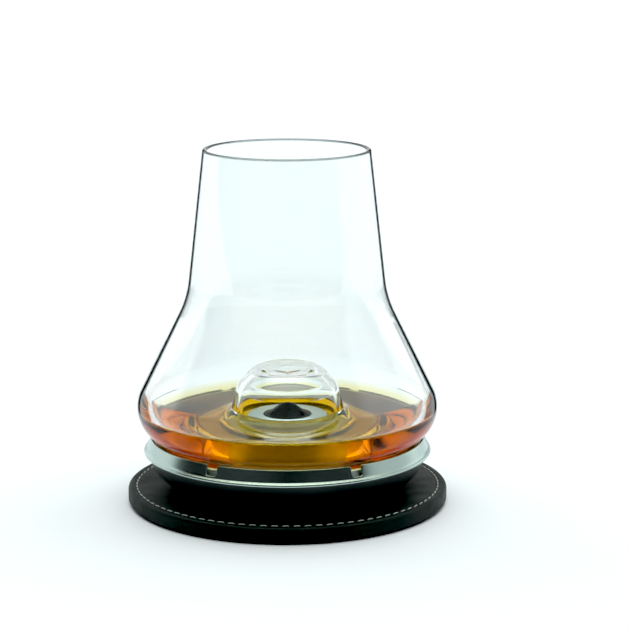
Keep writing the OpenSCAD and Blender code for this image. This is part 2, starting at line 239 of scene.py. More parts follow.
def turned(name, body, stretches, looped=False):
    """A surface of revolution about the z axis.

    Each outline point (r, z) goes to (r sin t, -r cos t, z) for every angle t, and its normal
    (a, b) to (a sin t, -a cos t, b). The outline has the outside on its right."""
    points = np.vstack([stretches[0][0][:1]] + [p[1:] for p, _ in stretches])
    starts = np.vstack([n[:-1] for _, n in stretches])
    ends = np.vstack([n[1:] for _, n in stretches])
    if looped:
        points = points[:-1]
    angle = np.arange(TURNS) * 2 * np.pi / TURNS
    around = np.stack([np.sin(angle), -np.cos(angle)], -1)
    pole = points[:, 0] < ON_AXIS
    count = np.where(pole, 1, TURNS)
    first = np.concatenate([[0], np.cumsum(count)])[:-1]
    vertices = np.vstack([
        np.array([[0, 0, z]]) if is_pole else np.column_stack([r * around, np.full(TURNS, z)])
        for (r, z), is_pole in zip(points, pole)])
    here = np.arange(TURNS)
    on = (here + 1) % TURNS
    faces, facing = [], []

    def spun(normal, at):
        return np.column_stack([normal[0] * around[at], np.full(TURNS, normal[1])])

    for i in range(len(starts)):
        a, b = i, (i + 1) % len(points)
        if pole[a]:
            corners = [np.full(TURNS, first[a]), first[b] + on, first[b] + here]
            sides = [spun(starts[i], here), spun(ends[i], on), spun(ends[i], here)]
        elif pole[b]:
            corners = [first[a] + here, first[a] + on, np.full(TURNS, first[b])]
            sides = [spun(starts[i], here), spun(starts[i], on), spun(ends[i], here)]
        else:
            corners = [first[a] + here, first[a] + on, first[b] + on, first[b] + here]
            sides = [spun(starts[i], here), spun(starts[i], on), spun(ends[i], on), spun(ends[i], here)]
        faces.extend(np.stack(corners, 1).tolist())
        facing.append(np.stack(sides, 1).reshape(-1, 3))
    mesh = bpy.data.meshes.new(name)
    mesh.from_pydata(vertices.tolist(), [], faces)
    mesh.polygons.foreach_set("use_smooth", np.ones(len(faces), bool))
    mesh.normals_split_custom_set(np.vstack(facing).tolist())
    mesh.update()
    print(name, "has", len(faces), "faces")
    return new_object(name, mesh, body)


print("a turned piece has", TURNS, "steps round the axis")

# %% [markdown]
# Materials are built from a few kinds of node, so one small helper keeps each recipe short.
# All patterns read Object coordinates: the objects sit at the origin, so those are true metres.

# %% A helper for node materials
class Recipe:
    """A material under construction: nodes are added by kind, and inputs are set or linked."""

    def __init__(self, name):
        self.material = bpy.data.materials.new(name)
        self.material.use_nodes = True
        self.tree = self.material.node_tree
        self.shader = self.tree.nodes["Principled BSDF"]
        self.output = self.tree.nodes["Material Output"]

    def node(self, kind, settings=None, **inputs):
        """Adds a node; settings are its properties, inputs its sockets by name with _ for spaces."""
        made = self.tree.nodes.new(kind)
        for key, value in (settings or {}).items():
            setattr(made, key, value)
        for key, value in inputs.items():
            self.put(made, key.replace("_", " "), value)
        return made

    def put(self, node, socket, value):
        """Sets a socket to a value, or links it if the value is another node's output."""
        target = node.inputs[int(socket)] if socket.isdigit() else node.inputs[socket]
        if isinstance(value, bpy.types.NodeSocket):
            self.tree.links.new(value, target)
        else:
            target.default_value = value

    def finish(self, **inputs):
        """Sets the main shader's sockets."""
        for key, value in inputs.items():
            self.put(self.shader, key.replace("_", " "), value)

    def place(self):
        """Object coordinates."""
        return self.node("ShaderNodeTexCoord").outputs["Object"]

    def math(self, operation, first, second=0.0):
        """One arithmetic step."""
        made = self.node("ShaderNodeMath", {"operation": operation})
        self.put(made, "0", first)
        self.put(made, "1", second)
        return made.outputs[0]

    def turned_place(self):
        """Radius and height of the point as a vector, for a pattern of rings left by turning."""
        parts = self.node("ShaderNodeSeparateXYZ", Vector=self.place())
        square = self.math("ADD", self.math("MULTIPLY", parts.outputs[0], parts.outputs[0]),
                           self.math("MULTIPLY", parts.outputs[1], parts.outputs[1]))
        joined = self.node("ShaderNodeCombineXYZ", X=self.math("SQRT", square), Z=parts.outputs[2])
        return joined.outputs[0]

    def attribute(self, name):
        """A number stored on the faces."""
        return self.node("ShaderNodeAttribute", {"attribute_name": name}).outputs["Fac"]

    def noise(self, vector, cells, detail):
        """Smooth noise, with so many cells per metre."""
        return self.node("ShaderNodeTexNoise", Vector=vector, Scale=cells, Detail=detail).outputs["Fac"]

    def ramp(self, value, low, high, start=0.0, end=1.0):
        """A value between low and high, as the input goes from start to end."""
        made = self.node("ShaderNodeMapRange", Value=value)
        for i, limit in enumerate((start, end, low, high)):
            made.inputs[i + 1].default_value = limit
        return made.outputs[0]

    def mix(self, share, first, second):
        """A colour between two colours."""
        made = self.node("ShaderNodeMix", {"data_type": "RGBA"})
        self.put(made, "0", share)
        self.put(made, "6", (*first, 1) if isinstance(first, tuple) else first)
        self.put(made, "7", (*second, 1) if isinstance(second, tuple) else second)
        return made.outputs[2]

    def bump(self, height, relief, strength=1.0):
        """A bumped normal; the relief is in metres."""
        return self.node("ShaderNodeBump", Height=height, Distance=relief, Strength=strength).outputs[0]


def dress(piece, material):
    """Gives a piece one material."""
    piece.data.materials.clear()
    piece.data.materials.append(material)


print("finishes are written with Recipe and put on a piece with dress")

# %% [markdown]
# Spun steel shows the lathe: hair-fine rings that never close up quite evenly. They stretch a
# highlight across themselves. The rings are noise that reads only radius and height.
# A faint cloud varies the gloss, because handled steel is never equally bright all over.

# %% Steel
LATHE_RINGS = 4000.0
LATHE_RELIEF = 0.001 * MM
CLOUDS = 60.0
CLOUD_SHADE = 0.94
POLISHED, HANDLED = 0.85, 1.2


def steel(name, colour, gloss):
    """Satin turned steel: fine rings in the relief, and a cloud in the colour and the gloss."""
    recipe = Recipe(name)
    lathe = recipe.noise(recipe.turned_place(), LATHE_RINGS, detail=1.0)
    cloud = recipe.noise(recipe.place(), CLOUDS, detail=3.0)
    recipe.finish(Base_Color=recipe.mix(cloud, tuple(CLOUD_SHADE * c for c in colour), colour),
                  Roughness=recipe.ramp(cloud, gloss * POLISHED, gloss * HANDLED),
                  Normal=recipe.bump(lathe, LATHE_RELIEF), Metallic=1.0)
    return recipe.material


RING_STEEL = steel("ring_steel", colour=(0.42, 0.53, 0.5), gloss=0.22)
PAN_STEEL = steel("pan_steel", colour=(0.66, 0.76, 0.71), gloss=0.36)
# The shell's steel is given a much darker colour than the other steels.
SHELL_STEEL = steel("shell_steel", colour=(0.16, 0.18, 0.18), gloss=0.3)
PLUG_STEEL = steel("plug_steel", colour=(0.6, 0.62, 0.63), gloss=0.28)
print("steels:", ", ".join(finish.name for finish in (RING_STEEL, PAN_STEEL, SHELL_STEEL, PLUG_STEEL)))

# %% [markdown]
# The coaster's leather is full-grain, dyed near black with a green cast, and pressed smooth.
# Its grain is small closed cells with fine creases between them: Voronoi cells give the cells,
# and a noise breaks their regularity. The colour is darker in the creases.

# %% Leather and lining
GRAIN_PULL = 0.6 * MM
PULL_CELLS = 600.0
CREASE_SHARE = 0.22
MOTTLES = 130.0
DULLED, BUFFED = 0.08, 0.06
LEATHER_SHEEN = 0.18


def leather(name, light, dark, grain, relief, gloss):
    """Leather: creased cells for the grain, mottled dye, soft uneven gloss.

    A place is first pulled aside by a noise, and the distance to the nearest cell border there,
    as a share of a cell, gives the crease."""
    recipe = Recipe(name)
    place = recipe.place()
    wander = recipe.node("ShaderNodeTexNoise", Vector=place, Scale=PULL_CELLS, Detail=2.0)
    pulled = recipe.node("ShaderNodeVectorMath", {"operation": "MULTIPLY_ADD"})
    recipe.put(pulled, "0", wander.outputs["Color"])
    recipe.put(pulled, "1", (GRAIN_PULL, GRAIN_PULL, GRAIN_PULL))
    recipe.put(pulled, "2", place)
    cells = recipe.node("ShaderNodeTexVoronoi", {"feature": "DISTANCE_TO_EDGE"},
                        Vector=pulled.outputs[0], Scale=grain)
    crease = recipe.ramp(cells.outputs["Distance"], 0.0, 1.0, end=CREASE_SHARE)
    mottle = recipe.noise(place, MOTTLES, detail=4.0)
    # The colour is darker in the creases, and the mottle varies it.
    recipe.finish(Base_Color=recipe.mix(recipe.math("MULTIPLY", crease, mottle), dark, light),
                  Roughness=recipe.ramp(mottle, gloss + DULLED, gloss - BUFFED, start=0.3, end=0.7),
                  Normal=recipe.bump(crease, relief, strength=0.6), Specular_IOR_Level=LEATHER_SHEEN)
    return recipe.material


LEATHER = leather("leather", light=(0.014, 0.028, 0.023), dark=(0.005, 0.01, 0.009),
                  grain=1500.0, relief=0.015 * MM, gloss=0.5)
LINING = leather("lining", light=(0.03, 0.03, 0.032), dark=(0.015, 0.015, 0.017),
                 grain=900.0, relief=0.08 * MM, gloss=0.75)
print("leathers:", LEATHER.name, LINING.name)

# %% [markdown]
# The board inside the coaster doesn't show, but it is pressed from brown fibres that lie flat.
# Squeezing the pattern's height by a Mapping node lays the fibres down.

# %% Board
FIBRE_FLATNESS = 8.0


def fibreboard():
    """Pressed board: brown with short fibres lying flat."""
    recipe = Recipe("board")
    flat = recipe.node("ShaderNodeMapping", Vector=recipe.place(), Scale=(1.0, 1.0, FIBRE_FLATNESS))
    fibre = recipe.noise(flat.outputs[0], cells=900.0, detail=5.0)
    recipe.finish(Base_Color=recipe.mix(fibre, (0.25, 0.19, 0.12), (0.5, 0.42, 0.31)), Roughness=0.8,
                  Normal=recipe.bump(fibre, 0.05 * MM))
    return recipe.material


dress(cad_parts["coaster_lining"], LINING)
dress(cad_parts["coaster_board"], fibreboard())
print("the coaster's lining and board are dressed")

# %% [markdown]
# The coaster is a round board wrapped in leather. Seen close, the top is not dead flat: it
# dips along the stitch line, where the thread pulls it down, and rolls over at the edge.
# A modifier could push a groove in, but the outline already has a place for it: the top face is
# a curve of radius, with a soft valley under the stitches.

# %% The coaster
LINING_TOP = top("coaster_lining")
LEATHER_T = 1.2 * MM
BOARD_R = COASTER_R - LEATHER_T
BOARD_TOP = COASTER_TOP - LEATHER_T
HEM_W = 7.2 * MM
HEM_T = 0.6 * MM
EDGE_ROUND = 1.4 * MM
UNDER_ROUND = 0.8 * MM
STITCH_INSET = 3.0 * MM
STITCH_R = COASTER_R - STITCH_INSET
VALLEY_DEPTH = 0.3 * MM
VALLEY_WIDTH = 0.75 * MM
VALLEY_REACH = 3 * VALLEY_WIDTH
VALLEY_STEPS = 40
LEVEL_STEPS = 24
JUST_PAST = 1.001


def leather_height(r):
    """Height of the leather's face: level, less a bell-shaped valley at the stitch line."""
    return COASTER_TOP - VALLEY_DEPTH * np.exp(-((r - STITCH_R) / VALLEY_WIDTH) ** 2)


valley_r = np.linspace(COASTER_R - EDGE_ROUND, STITCH_R - VALLEY_REACH, VALLEY_STEPS)
level_r = np.linspace(STITCH_R - VALLEY_REACH, 0, LEVEL_STEPS)[1:]
face_r = np.concatenate([valley_r, level_r])
face = smooth_curve(np.stack([face_r, leather_height(face_r)], -1))
wrap = outline([
    (0, BOARD_TOP, 0), (BOARD_R, BOARD_TOP, 0), (BOARD_R, LINING_TOP + HEM_T, 0),
    (COASTER_R - HEM_W, LINING_TOP + HEM_T, 0), (COASTER_R - HEM_W, LINING_TOP, 0),
    (COASTER_R, LINING_TOP, UNDER_ROUND), (COASTER_R, COASTER_TOP, EDGE_ROUND),
    (COASTER_R - EDGE_ROUND * JUST_PAST, COASTER_TOP, 0)])
wrap[-1] = (np.vstack([wrap[-1][0][:-1], face[0][:1]]), wrap[-1][1])
coaster_wrap = turned("coaster_wrap", "coaster", wrap + [face])
dress(coaster_wrap, LEATHER)
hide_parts("coaster_leather")

# %% [markdown]
# The stitching is a row of short slanted dashes, as a saddler's is. Each dash is a waxed thread
# of several strands twisted together: it rises out of one needle hole, lies on the leather and
# dives into the next. One dash is a tube along a low arch, and numpy copies it round the coaster in
# one multiplication. A ridge that winds along the tube shows the twist.

# %% One stitch
STITCH_LENGTH = 2.5 * MM
STITCH_SLANT = math.radians(6)
ARCH_HEIGHT = 0.3 * MM
THREAD_WIDTH = 0.5 * MM
THREAD_HEIGHT = 0.4 * MM
STRANDS = 3
STRAND_SWELL = 0.12
TWIST_TURNS = 2.5
END_TAPER = 0.55
TUBE_RINGS = 11
TUBE_SIDES = 10


def stitch_tube():
    """One stitch along x: an elliptic tube on an arch, swollen by the strands of its twist.

    For t from -1 to 1 the arch is its height times (1 - t^4), so that the ends dive steeply, and
    the tube thins by the square root of (1 - taper t^6). Round the tube, at the angle a, it
    swells by the cosine of the strands times a, less the twist's turn there."""
    t = np.linspace(-1, 1, TUBE_RINGS)[:, None]
    a = np.arange(TUBE_SIDES)[None] * 2 * np.pi / TUBE_SIDES
    swell = 1 + STRAND_SWELL * np.cos(STRANDS * (a - TWIST_TURNS * np.pi * t / STRANDS))
    taper = np.sqrt(1 - END_TAPER * t ** 6)
    x = t * STITCH_LENGTH / 2 + 0 * a
    y = THREAD_WIDTH / 2 * swell * taper * np.cos(a)
    z = THREAD_HEIGHT / 2 * swell * taper * np.sin(a) + ARCH_HEIGHT * (1 - t ** 4)
    return np.stack([x, y, z], -1)


print("a stitch is %.1f mm long" % (STITCH_LENGTH / MM))

# %% [markdown]
# The row closes on itself, so the stitches are shared out by equal turns about the axis.
# The thread under the coaster is the same row upside down: flipping its heights turns every
# face inside out, so the order of each face's corners is flipped with it.

# %% The row of stitches
STITCHES = 90
THREAD_SINK = 0.16 * MM
UNDER_THREAD_RISE = 0.52 * MM


def stitch_ring(name, material, node, height, flip=1):
    """All the stitches of one side, placed by turning one stitch about the axis.

    A point (x, y) of the stitch is turned by the slant, moved out to the stitch line and then
    turned by each stitch's share of the full circle."""
    tube = stitch_tube()
    slant_cos, slant_sin = math.cos(STITCH_SLANT), math.sin(STITCH_SLANT)
    x = (tube[..., 0] * slant_cos - tube[..., 1] * slant_sin)[None]
    y = (tube[..., 0] * slant_sin + tube[..., 1] * slant_cos)[None] - STITCH_R
    z = (tube[..., 2] * flip)[None]
    turn = np.arange(STITCHES)[:, None, None] * 2 * np.pi / STITCHES
    placed = np.stack([x * np.cos(turn) - y * np.sin(turn), x * np.sin(turn) + y * np.cos(turn),
                       z + height + 0 * turn], -1)
    i, j = np.meshgrid(np.arange(TUBE_RINGS - 1), np.arange(TUBE_SIDES), indexing="ij")
    on = (j + 1) % TUBE_SIDES
    quads = np.stack([i * TUBE_SIDES + j, (i + 1) * TUBE_SIDES + j, (i + 1) * TUBE_SIDES + on,
                      i * TUBE_SIDES + on], -1).reshape(-1, 4)[:, ::flip]
    cap = np.arange(TUBE_SIDES)
    step = TUBE_RINGS * TUBE_SIDES * np.arange(STITCHES)[:, None, None]
    faces = (quads[None] + step).reshape(-1, 4).tolist()
    faces += (cap[None, ::flip] + step[:, 0]).tolist()
    faces += (cap[None, ::-flip] + (TUBE_RINGS - 1) * TUBE_SIDES + step[:, 0]).tolist()
    mesh = bpy.data.meshes.new(name)
    mesh.from_pydata(placed.reshape(-1, 3).tolist(), [], faces)
    mesh.polygons.foreach_set("use_smooth", np.ones(len(faces), bool))
    mesh.update()
    ring = new_object(name, mesh, "coaster")
    dress(ring, material)
    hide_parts(node)
    print(name, "has", STITCHES, "stitches and", len(faces), "faces")


def thread(name, light, dark):
    """Waxed thread: matt, with painted shade in the hollows between fibres."""
    recipe = Recipe(name)
    fibre = recipe.noise(recipe.place(), cells=6000.0, detail=3.0)
    # The same noise lowers the bump and darkens the colour: painted shade in the hollows.
    recipe.finish(Base_Color=recipe.mix(fibre, dark, light), Roughness=0.62,
                  Normal=recipe.bump(fibre, 0.02 * MM))
    return recipe.material


stitch_ring("saddle_stitches", thread("thread", light=(0.6, 0.64, 0.58), dark=(0.4, 0.43, 0.38)),
            "top_thread", float(leather_height(STITCH_R)) - THREAD_SINK)
stitch_ring("lining_stitches", thread("dark_thread", light=(0.2, 0.2, 0.2), dark=(0.1, 0.1, 0.1)),
            "under_thread", foot("under_thread") + UNDER_THREAD_RISE, flip=-1)

# %% [markdown]
# The base and the glass share one taper: the bowl narrows in a straight cone to its foot, and
# the ring and the pan follow that cone. The bowl's widest place is a corner where the taper
# meets the upper cone, rounded by an arc. The corner lies outside the arc's centre by the
# radius over the cosine of half the turn, in the direction midway between the two lines.

# %% The bowl's corner and its taper
TAPER = math.radians(48.1)
CONE = math.radians(26.5)
BOWL_ROUND = 12 * MM
BOWL_H = 22.4 * MM


def bowl_corner():
    """The corner where the taper meets the cone: the arc's centre, plus its reach midway."""
    centre = np.array([BOWL_R - BOWL_ROUND, GLASS_FOOT + BOWL_H])
    reach = BOWL_ROUND / math.cos((CONE + TAPER) / 2)
    midway = (CONE - TAPER) / 2
    return centre + reach * np.array([math.cos(midway), math.sin(midway)])


BOWL_CORNER = bowl_corner()


def taper_r(z):
    """Outer radius of the glass's taper at a height: a straight line down from the bowl's corner."""
    return BOWL_CORNER[0] - (BOWL_CORNER[1] - z) * math.tan(TAPER)


print("the glass's foot would be %.1f mm wide if its corner were sharp" % (2 * taper_r(GLASS_FOOT) / MM))

# %% [markdown]
# The chilling base is two spun dishes of steel, one inside the other, with freezer gel between.
# The upper dish, the pan, follows the glass's taper and rises in the middle to a boss that
# reaches into the hollow under the glass. Sheet metal has one thickness all over, so only its
# upper face is drawn, and the lower face is the same path moved sideways. The pan's lip folds
# down behind the ring, and its fold shows in the ring's notches.

# %% The pan
SHEET = 0.8 * MM
GLASS_REST_GAP = 0.05 * MM
BOSS_R = 14 * MM
BOSS_DRAFT = 1.6 * MM
BOSS_EDGE_ROUND = 1.0 * MM
BOSS_FOOT_ROUND = 1.5 * MM
RECESS_R = 8.3 * MM
RECESS = 0.8 * MM
RECESS_FOOT_ROUND = 0.15 * MM
RECESS_EDGE_ROUND = 0.25 * MM
PAN_GAP = 0.5 * MM
PAN_CORNER_ROUND = 3 * MM
FOLD_ROUND = 1.2 * MM
LIP_DROP = 1.5 * MM
SKIRT_GAP = 0.5 * MM
RING_FLARE = 1.8 * MM
RING_H = RING_TOP - RING_SEAT
ring_lean = math.atan2(RING_FLARE, RING_H)
pan_floor = GLASS_FOOT - GLASS_REST_GAP
pan_corner_r = taper_r(GLASS_FOOT) + PAN_GAP / math.cos(TAPER)
fold_rise = FOLD_ROUND * (math.cos((TAPER - ring_lean) / 2) / math.sin((TAPER + ring_lean) / 2) - 1)
fold_z = RING_TOP - LIP_DROP + fold_rise
fold_r = pan_corner_r + (fold_z - GLASS_FOOT) * math.tan(TAPER)
skirt_z = RING_SEAT + SHEET + SKIRT_GAP

pan_upper = [
    (0, BOSS_TOP - RECESS, 0), (RECESS_R, BOSS_TOP - RECESS, RECESS_FOOT_ROUND),
    (RECESS_R, BOSS_TOP, RECESS_EDGE_ROUND), (BOSS_R, BOSS_TOP, BOSS_EDGE_ROUND),
    (BOSS_R + BOSS_DRAFT, pan_floor, BOSS_FOOT_ROUND), (pan_corner_r, pan_floor, PAN_CORNER_ROUND),
    (fold_r, fold_z, FOLD_ROUND), (fold_r + (fold_z - skirt_z) * math.tan(ring_lean), skirt_z, 0)]
pan_lower = offset_path(pan_upper, SHEET)
pan = turned("chilling_pan", "base", outline(pan_lower + pan_upper[::-1]))
dress(pan, PAN_STEEL)
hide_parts("base_pan")

# %% [markdown]
# The lower dish, the shell, hardly shows: it is the dark shape in the shadow under the ring.
# It is still a closed sheet, with a dimple in the middle of its floor that keeps the filler
# plug off the table. Its side bends once on the way up, which keeps the shadow line soft.

# %% The shell
SHELL_INSET = 1.0 * MM
SHELL_RIM_R = BEAD_OUT_R - SHELL_INSET
SHELL_FOOT_R = 37.5 * MM
SHELL_FOOT_ROUND = 4 * MM
BEND_OUT_SHARE = 0.68
BEND_UP_SHARE = 0.34
BEND_ROUND = 8 * MM
DIMPLE_R = 8.5 * MM
DIMPLE_DEPTH = 0.8 * MM
DIMPLE_SLOPE = 1.0 * MM
DIMPLE_ROUND = 0.5 * MM
PLUG_R = 4.0 * MM
dimple_z = SHELL_FOOT + DIMPLE_DEPTH
bend_r = SHELL_FOOT_R + (SHELL_RIM_R - SHELL_FOOT_R) * BEND_OUT_SHARE
bend_z = SHELL_FOOT + (RING_SEAT - SHELL_FOOT) * BEND_UP_SHARE

shell_outer = [
    (PLUG_R, dimple_z, 0), (DIMPLE_R, dimple_z, DIMPLE_ROUND),
    (DIMPLE_R + DIMPLE_SLOPE, SHELL_FOOT, DIMPLE_ROUND), (SHELL_FOOT_R, SHELL_FOOT, SHELL_FOOT_ROUND),
    (bend_r, bend_z, BEND_ROUND), (SHELL_RIM_R, RING_SEAT, 0)]
shell_inner = offset_path(shell_outer[::-1], SHEET)
shell = turned("chilling_shell", "base", outline(shell_outer + shell_inner + shell_outer[:1]), looped=True)
dress(shell, SHELL_STEEL)
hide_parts("base_shell")

# %% [markdown]
# The ring round the base is the brightest metal in the picture. It is a leaning band with a
# rolled bead below, and its top edge has a notch every sixth of the way round.
# Cutting the notches with a Boolean would leave knife edges that catch no light. Instead the
# band is a sheet that follows its own edge: the edge's outline runs along the top, down into
# a notch and up again, and every ring of points is set in from that outline by a few tenths
# of a millimetre along a small arc. So the rounded, bright edge goes down into each notch.

# %% The ring's notched edge, laid flat
NOTCHES = 6
NOTCH_TURN = math.radians(29.2)
NOTCH_W = 3.8 * MM
NOTCH_DEPTH = 3.5 * MM
NOTCH_ROUND = 0.9 * MM
NOTCH_LEAD = 0.7 * MM
NOTCH_REACH = 2.5 * MM
EDGE_STEP = 0.4 * MM
RING_T = 1.0 * MM
GLASS_GAP = 0.3 * MM
HAIR = 1e-9
ring_in_r = taper_r(RING_TOP) + GLASS_GAP / math.cos(TAPER)
ring_out_r = ring_in_r + RING_T
ring_mid_r = (ring_in_r + ring_out_r) / 2


def subdivided(points, normals, longest):
    """Points and normals with extra ones between, so that no step is longer than a limit."""
    count = np.maximum(1, np.ceil(np.linalg.norm(np.diff(points, axis=0), axis=1) / longest)).astype(int)
    index = np.repeat(np.arange(len(count)), count)
    share = (np.arange(len(index)) - np.repeat(np.cumsum(count) - count, count)) / count[index]
    share = share[:, None]
    between = points[index] * (1 - share) + points[index + 1] * share
    facing = unit(normals[index] * (1 - share) + normals[index + 1] * share)
    return between, facing


def notched_edge():
    """The top edge once round, laid flat: points (along, up), the way in from the edge at each,
    and the place along the seat that belongs to each.

    Near a notch the places on the seat are shared out by the edge's own length, so that the
    rows of points fan down evenly from the notch's sides."""
    period = 2 * np.pi * ring_mid_r / NOTCHES
    half = NOTCH_W / 2
    near = half + NOTCH_REACH
    (edge, inward), = outline([
        (-period / 2, RING_H, 0), (-half, RING_H, NOTCH_LEAD),
        (-half, RING_H - NOTCH_DEPTH, NOTCH_ROUND), (half, RING_H - NOTCH_DEPTH, NOTCH_ROUND),
        (half, RING_H, NOTCH_LEAD), (period / 2, RING_H, 0)])
    beside = np.array([[-near, RING_H], [near, RING_H]])
    down = np.array([[0, -1.0], [0, -1.0]])
    edge = np.vstack([edge[:1], beside[:1], edge[1:-1], beside[1:], edge[-1:]])
    inward = np.vstack([inward[:1], down[:1], inward[1:-1], down[1:], inward[-1:]])
    edge, inward = subdivided(edge, inward, EDGE_STEP)
    length = np.concatenate([[0], np.cumsum(np.linalg.norm(np.diff(edge, axis=0), axis=1))])
    fanned = np.abs(edge[:, 0]) <= near + HAIR
    seat = edge[:, 0].copy()
    seat[fanned] = np.interp(length[fanned], length[fanned][[0, -1]], edge[fanned, 0][[0, -1]])
    shift = (np.arange(NOTCHES) * period + NOTCH_TURN * ring_mid_r)[:, None]
    along = (edge[None, :, 0] + shift).ravel()
    points = np.stack([along, np.tile(edge[:, 1], NOTCHES)], -1)
    return points, np.tile(inward, (NOTCHES, 1)), (seat[None] + shift).ravel()


print("the ring is %.1f mm across at its top" % (2 * ring_out_r / MM))

# %% [markdown]
# The rows of points then go up the outer face, over the rounded edge, down the inner face, in
# along the shelf to the pan, and back out round the bead. Every row has the same number of
# points, so the rows join into one grid that closes in both directions.

# %% The rim ring
BAND_START = 1.3 * MM
BAND_ROWS = 7
EDGE_R = 0.28 * MM
EDGE_ROWS = 6
BEAD_R = 0.65 * MM
BEAD_ROWS = 20
BEAD_START, BEAD_END = -90, 62
RING_SHARP = 50


def ring_sheet(along, up, out):
    """A place on the leaning band: length along its top edge, height above its seat, and
    distance out from its middle, turned into a point about the axis."""
    angle = along / ring_mid_r
    r = ring_mid_r + RING_FLARE * (1 - up / RING_H) + out * math.cos(ring_lean)
    z = RING_SEAT + up + out * math.sin(ring_lean)
    return np.stack([r * np.sin(angle), -r * np.cos(angle), z], -1)


def face_rows(edge, seat, side, shares):
    """Rows of one face, at shares of the way from its low line to the edge set in by its round."""
    points, inward = edge
    set_in = points + inward * EDGE_R
    return [ring_sheet(seat * (1 - share) + set_in[:, 0] * share,
                       BAND_START * (1 - share) + set_in[:, 1] * share, side * RING_T / 2)
            for share in shares]


def edge_rows(edge, side, turns):
    """Rows of a quarter round at the edge: at the turn t they are set in by (1 - sin t) of its
    radius, and lie nearer the middle than the face does by (1 - cos t) of it."""
    points, inward = edge
    rows = []
    for t in turns:
        at = points + inward * EDGE_R * (1 - math.sin(t))
        rows.append(ring_sheet(at[:, 0], at[:, 1], side * (RING_T / 2 - EDGE_R * (1 - math.cos(t)))))
    return rows


def seat_rows(seat):
    """Rows of the shelf, of the cone that lies on the pan, and of the bead's arc."""
    shelf_top = RING_SEAT + SHEET
    seat_r = pan_corner_r + (RING_SEAT - GLASS_FOOT) * math.tan(TAPER) + SHEET / math.cos(TAPER)
    shelf_r = seat_r + SHEET * math.tan(TAPER)
    turn = np.radians(np.linspace(BEAD_START, BEAD_END, BEAD_ROWS))
    bead = np.array([BEAD_OUT_R - BEAD_R, RING_SEAT + BEAD_R])
    section = np.vstack([
        [[ring_out_r + RING_FLARE - RING_T, shelf_top], [shelf_r, shelf_top], [seat_r, RING_SEAT]],
        bead + BEAD_R * np.stack([np.cos(turn), np.sin(turn)], -1)])
    angle = seat / ring_mid_r
    return [np.stack([r * np.sin(angle), -r * np.cos(angle), np.full(len(seat), z)], -1)
            for r, z in section]


def ring_points():
    """The ring's grid: round the ring in one direction, round its section in the other."""
    points, inward, seat = notched_edge()
    edge = (points, inward)
    rows = face_rows(edge, seat, 1, np.linspace(0, 1, BAND_ROWS))
    rows += edge_rows(edge, 1, np.linspace(0, np.pi / 2, EDGE_ROWS)[1:])
    rows += edge_rows(edge, -1, np.linspace(np.pi / 2, 0, EDGE_ROWS))
    rows += face_rows(edge, seat, -1, np.linspace(1, 0, BAND_ROWS)[1:])
    return np.stack(rows + seat_rows(seat), 1)


def grid_mesh(name, body, points, sharp_degrees):
    """A closed mesh from a grid of points that joins up in both directions."""
    rows, columns = points.shape[:2]
    i, j = np.meshgrid(np.arange(rows), np.arange(columns), indexing="ij")
    up, on = (i + 1) % rows, (j + 1) % columns
    faces = np.stack([i * columns + j, up * columns + j, up * columns + on, i * columns + on], -1)
    mesh = bpy.data.meshes.new(name)
    mesh.from_pydata(points.reshape(-1, 3).tolist(), [], faces.reshape(-1, 4).tolist())
    mesh.polygons.foreach_set("use_smooth", np.ones(len(mesh.polygons), bool))
    mesh.set_sharp_from_angle(angle=math.radians(sharp_degrees))
    mesh.update()
    print(name, "has", len(mesh.polygons), "faces")
    return new_object(name, mesh, body)


ring = grid_mesh("notched_ring", "base", ring_points(), RING_SHARP)
dress(ring, RING_STEEL)
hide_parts("rim_ring")

# %% [markdown]
# The boss carries a plain black badge, a low bell of enamel let into a recess.
# Enamel pools as it melts, so its surface has faint swells, and fine dust dulls it here and there.

# %% The badge
BADGE_R = radius("boss_badge")
BADGE_TOP = top("boss_badge")
BADGE_FOOT = foot("boss_badge")
BADGE_RISE = 0.1 * MM
BADGE_SHOULDER = 0.25 * MM
BADGE_ROUND = 0.2 * MM
BADGE_STEPS = 40


def badge_outline():
    """A low bell: its height above the edge goes as half of 1 + cos of the radius's share of pi."""
    edge_z = BOSS_TOP + BADGE_RISE
    r = np.linspace(BADGE_R - BADGE_SHOULDER, 0, BADGE_STEPS)
    z = edge_z + (BADGE_TOP - edge_z) * (1 + np.cos(np.pi * r / BADGE_R)) / 2
    side = outline([(0, BADGE_FOOT, 0), (BADGE_R, BADGE_FOOT, 0), (BADGE_R, z[0], BADGE_ROUND),
                    (r[0], z[0], 0)])
    return side + [smooth_curve(np.stack([r, z], -1))]


def enamel():
    """Black enamel: deep gloss with faint swells and a little dust."""
    recipe = Recipe("badge")
    swell = recipe.noise(recipe.place(), cells=260.0, detail=2.0)
    dust = recipe.noise(recipe.place(), cells=2400.0, detail=4.0)
    recipe.finish(Base_Color=recipe.mix(dust, (0.012, 0.016, 0.014), (0.022, 0.028, 0.025)),
                  Roughness=recipe.ramp(dust, 0.24, 0.38, start=0.4, end=0.8),
                  Normal=recipe.bump(swell, 0.12 * MM), Specular_IOR_Level=0.1)
    return recipe.material


badge = turned("enamel_badge", "base", badge_outline())
dress(badge, enamel())
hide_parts("boss_badge")

# %% [markdown]
# The pieces inside and under the base never show in the picture, but each keeps its own plain
# finish: moulded rubber with a fine bloom, turned steel, and pale cloudy freezer gel.

# %% The pieces under and inside the base
def rubber():
    """Moulded rubber: matt black with a fine bloom."""
    recipe = Recipe("rubber")
    bloom = recipe.noise(recipe.place(), cells=3000.0, detail=3.0)
    recipe.finish(Base_Color=recipe.mix(bloom, (0.01, 0.01, 0.01), (0.03, 0.03, 0.03)),
                  Roughness=0.72, Normal=recipe.bump(bloom, 0.02 * MM))
    return recipe.material


